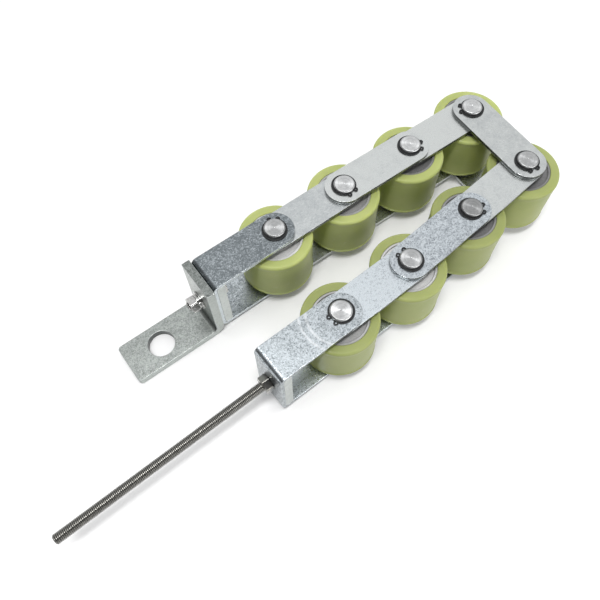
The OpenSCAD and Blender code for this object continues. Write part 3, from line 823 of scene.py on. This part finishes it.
# %% Yokes, blocks and bracket
hole, hole_reach = Vector(mounts["anchor_hole"]["pos_m"]), 12 * MM


def even_tone(normal, place):
    return 1.1


def dull_tone(normal, place):
    return 0.6


# Anchor strap: side edges lighter, faces below the pin at 0.76, the rest at 0.40. The strap's own finish is darker
# than the other yoke's; the split between its faces is painted light and shade.
def anchor_painted_light(normal, place):
    return 1.45 if abs(normal.y) > 0.9 else 0.76 if place.z < 0 else 0.40


# Painted light and shade by face: the lower strap's top, which lies in shade under the upper strap, is painted
# light (1.7), other upward faces 0.85, and the end wall and edges are painted darker (0.62) as shade.
def tension_painted_light(normal, place):
    if normal.z > 0.9 and place.z < 0:
        return 1.7
    return 0.85 if normal.z > 0.5 else 0.62


# Painted light and shade by face: the bolt hole's wall is painted black as the shade inside it, the top of the
# upright and the foot are darker, and the narrow sides are lighter.
def bracket_painted_light(normal, place):
    hole_wall_in_shade = abs(normal.z) < 0.5 and (place + pins[0] - hole).to_2d().length < hole_reach
    if hole_wall_in_shade:
        return 0.0
    if normal.z > 0.9:
        return 0.58 if place.z > 0 else 0.80
    return 1.2 if abs(normal.y) > 0.9 else 1.0


strap_edge, block_edge, bracket_edge, first_seed, seed_step = 0.4 * MM, 0.35 * MM, 0.5 * MM, 2.9, 1.7
bent = [("anchor_strap", "anchor_yoke", strap_edge, yoke_zinc, anchor_painted_light, 1.0, 0.0)]
bent += [("tension_strap", "tension_yoke", strap_edge, yoke_zinc, tension_painted_light, 1.15, 1.0)]
bent += [("anchor_backing", "anchor_block", block_edge, block_steel, even_tone, 0.5, 0.0)]
bent += [("tension_backing", "tension_block", block_edge, block_steel, dull_tone, 0.5, 0.0)]
bent += [("foot_bracket", "anchor_bracket", bracket_edge, bracket_zinc, bracket_painted_light, 0.5, 0.0)]
for k, (name, node, edge, finish, tone, spangle, rub) in enumerate(bent):
    softened(name, node, edge, finish, seed_step * k + first_seed, tone, spangle, rub)

# %% [markdown]
# ## Fasteners and rod
# At the anchor a bolt comes through the yoke and the bracket, with a flat washer, a spring washer and a nut. At
# the other end a long rod is held by a nut on each side of the yoke's wall. The layout tree sets nuts, washer and
# head, because a piece that was made along +Z has to be turned to point along its yoke. A reach is the distance
# from the yoke's pin in millimetres. The rod's nuts are rolled by half a flat, so that a corner is on top.

# %% Nuts, washers, bolt and rod
HEAD_REACH, BOLT_REACH, WASHER_REACH, ANCHOR_NUT_REACH = 51.7, 56.0, 74.0, 77.6
ROD_REACH, ROD_NUT_REACHES = 45.5, (50.5, 67.0)
bolt_length, rod_length = 29.6 * MM, 200 * MM
flats, nut_high, head_high, nut_bore = 13 * MM, 6.5 * MM, 5.3 * MM, 4.03 * MM
washer = [(7.75, 0), (8.0, 0.3), (8.0, 1.3), (7.75, 1.6), (4.7, 1.6), (4.5, 1.4), (4.5, 0.2), (4.7, 0)]


def lay_along(name, shape, finish, node, *reaches):
    pin, heading = yoke_frame(node)
    ahead = Vector((math.cos(heading), math.sin(heading), 0))
    turn = (0, math.pi / 2, heading)
    places = [{"at": pin + ahead * (reach * MM), "turn": turn, "seed": reach} for reach in reaches]
    lay_out(name, shape, finish, places, body_of[node], node)


nut_shape = hexagon("nut_shape", flats, nut_high, nut_bore)
lay_along("anchor_hex_nut", nut_shape, bright_zinc, "anchor_nut", ANCHOR_NUT_REACH)
rolled_nut_shape = hexagon("rolled_nut_shape", flats, nut_high, nut_bore, math.pi / 6)
lay_along("rod_hex_nuts", rolled_nut_shape, nut_steel, "rod_nuts", *ROD_NUT_REACHES)
washer_shape = turned("washer_shape", [(r * MM, z * MM) for r, z in washer], 72)
lay_along("plain_washer", washer_shape, bright_zinc, "anchor_flat_washer", WASHER_REACH)
softened("split_washer", "anchor_spring_washer", 0.2 * MM, bright_zinc, 1.0, even_tone)
rolled_thread("threaded_bolt", bright_zinc, "anchor_bolt", BOLT_REACH, bolt_length)
head_shape = hexagon("head_shape", flats, head_high, None)
lay_along("bolt_head", head_shape, bright_zinc, "anchor_bolt", HEAD_REACH)
rolled_thread("threaded_rod", rod_steel, "tension_rod", ROD_REACH, rod_length)
print("fasteners: 3 nuts, 2 washers, a bolt and a rod")

# %% [markdown]
# ## What stays CAD
# The bearings and the sleeves sit inside the rollers. Their CAD shape is already all that can be seen of them
# between the plates, so they only get their finish: one steel in three shades, where the pale and the dark ones
# paint the light and the shade that fall on each bearing between the plates.

# %% Bearings and sleeves
kept = [n for n in frame["nodes"] if n.startswith(("bearings_", "sleeves_"))]
looks = {f"bearings_{k}": bearing_painted_lit for k in (1, 7)} | {f"bearings_{k}": bearing_painted_shade for k in (3, 4, 5, 6)}
for n in kept:
    look, mesh = looks.get(n, bearing_steel), frame["nodes"][n].data
    if mesh.materials:
        for slot in frame["nodes"][n].material_slots:
            slot.material = look
    else:
        mesh.materials.append(look)
print("CAD nodes that stay:", len(kept))

# %% [markdown]
# ## Floor
# The chain lies on white paper. White paper under soft light still renders grey where the lamps fall off, so the
# paper also has a glow that only the camera sees and that grows where the lamps no longer reach. It still takes
# the shadows. Mirrors see plain bright paper, and the light that it throws back onto the tyres is set by itself.

# %% Floor
PAPER_HALF, PAPER_X, PAPER_GAP = 3, 0.1, 0.0002
grey = {name: (level, level, level, 1) for name, level in (("bounce", 0.56), ("mirror", 0.95), ("seen", 0.90))}
corners = [(-1, -1), (1, -1), (1, 1), (-1, 1)]
floor_mesh = bpy.data.meshes.new("floor")
floor_mesh.from_pydata([(x * PAPER_HALF, y * PAPER_HALF, 0) for x, y in corners], [], [(0, 1, 2, 3)])
floor_mesh.transform(Matrix.Translation((PAPER_X, 0, cad_box[0][2] - PAPER_GAP)))
floor = add_object("floor", floor_mesh)
paper = Finish("floor_paper")
paper.tree.nodes.remove(paper.shader)
ray = paper.tree.nodes.new("ShaderNodeLightPath").outputs
bounce = paper.add("BsdfDiffuse", {"Color": paper.mix(ray["Is Glossy Ray"], grey["bounce"], grey["mirror"])})
offset = paper.add("VectorMath", {0: paper.object_place(), 1: (PAPER_X, 0, 0)}, operation="SUBTRACT")
distance = paper.add("VectorMath", {0: offset}, "Value", operation="LENGTH")
glow = paper.add("Emission", {"Strength": paper.steps(distance, 0.6, 2.0, 0.07, 0.8)})
seen = paper.add("AddShader", {0: paper.add("BsdfDiffuse", {"Color": grey["seen"]}), 1: glow})
direct = paper.maths("MAXIMUM", ray["Is Camera Ray"], ray["Is Transmission Ray"])
surface = paper.add("MixShader", {0: direct, 1: bounce, 2: seen})
paper.wire(paper.tree.nodes["Material Output"].inputs["Surface"], surface)
floor_mesh.materials.append(paper.material)
print("floor:", 2 * PAPER_HALF, "m of paper")

# %% [markdown]
# ## Dome
# Metal shows what is around it, so the dome matters more than the lamps. It is brightest overhead, a little behind
# the chain, and its walls are pale, with a dark gap in the wall behind the rod that draws the dark line on the
# bends. A photo of a studio could do this, but a ramp and two fades are enough, and the camera sees plain white.

# %% Dome
WALL_LEVEL, WHITE = 0.58, (1, 1, 1, 1)
world = bpy.data.worlds.new("studio")
bpy.context.scene.world = world
world.use_nodes = True
sky = Nodes(world.node_tree)
direction = sky.add("TexCoord", {}, "Generated")
brightest = Vector((0.25, 0.355, 0.90)).normalized()
facing = sky.add("VectorMath", {0: direction, 1: brightest}, "Value", operation="DOT_PRODUCT")
dome = sky.tree.nodes.new("ShaderNodeValToRGB")
sky.wire(dome.inputs["Fac"], facing)
stops = [(0.0, 0.08), (0.58, 0.12), (0.80, 0.96), (1.0, 1.01)]
while len(dome.color_ramp.elements) < len(stops):
    dome.color_ramp.elements.new(0.5)
for element, (at, level) in zip(dome.color_ramp.elements, stops):
    element.position = at
    element.color = (level, level, level * 1.01, 1)
axes = sky.axes(direction)
low = sky.steps(axes["Z"], 0.36, 0.60, WALL_LEVEL, 0.0, interpolation_type="SMOOTHSTEP")
beside_gap = sky.steps(axes["X"], -0.86, -0.66, 0.0, 1.0, interpolation_type="SMOOTHSTEP")
around = sky.mix(sky.maths("MULTIPLY", low, beside_gap), dome.outputs["Color"], WHITE, "ADD")
shown = sky.mix(sky.add("LightPath", {}, "Is Camera Ray"), around, WHITE)
sky.wire(sky.tree.nodes["Background"].inputs["Color"], shown)
print("dome stops:", stops)

# %% [markdown]
# ## Lamps
# A long soft lamp hangs nearly overhead, so the shadows are short. It runs along the rod and draws the bright line
# on it. A low lamp on the right lights the sides of the tyres, and a small one above draws a bright line along the
# yokes' bends. Area lamps are used because the size of a lamp is what makes a shadow soft.


# %% Lamps
def soft_lamp(name, at, aim, width, height, watts):
    lamp = bpy.data.lights.new(name, "AREA")
    lamp.shape, lamp.size, lamp.size_y, lamp.energy = "RECTANGLE", width, height, watts
    made = add_object(name, lamp)
    made.location = at
    made.rotation_euler = (Vector(aim) - Vector(at)).to_track_quat("-Z", "Y").to_euler()


soft_lamp("overhead", (-0.12, -0.215, 1.50), (-0.12, -0.10, 0), 0.75, 0.2, 12.5)
soft_lamp("bends", (-0.21, 0.33, 1.53), (0.05, -0.09, 0.06), 0.25, 0.25, 1.5)
soft_lamp("right", (0.45, -1.20, 0.52), (0.14, -0.04, 0.03), 0.6, 0.6, 5.5)
print("lamps: 3 and a dome")

# %% [markdown]
# ## Camera
# The camera stands where the photo was taken from. Its lens, its place and its two axes come from fitting the pins,
# the rollers and the ends to the photo, because an angle set by eye would not bring every pin into line.

# %% Camera
camera = bpy.data.cameras.new("camera")
camera.sensor_width = camera.sensor_height = 36
camera.sensor_fit = "HORIZONTAL"
camera.lens = 36.843
camera.clip_start = 0.01
viewer = add_object("camera", camera)
right = Vector((0.80284617, -0.59608208, -0.01114329))
ahead = Vector((0.25116617, 0.35512178, -0.9004466))
at = Vector((-0.01588959, -0.21948841, 0.47156093))
columns = Matrix((right, right.cross(ahead), -ahead)).transposed().to_4x4()
viewer.matrix_world = Matrix.Translation(at) @ columns
bpy.context.scene.camera = viewer
bpy.context.scene.view_settings.view_transform = "Standard"
print("camera at", [round(v, 4) for v in viewer.location])
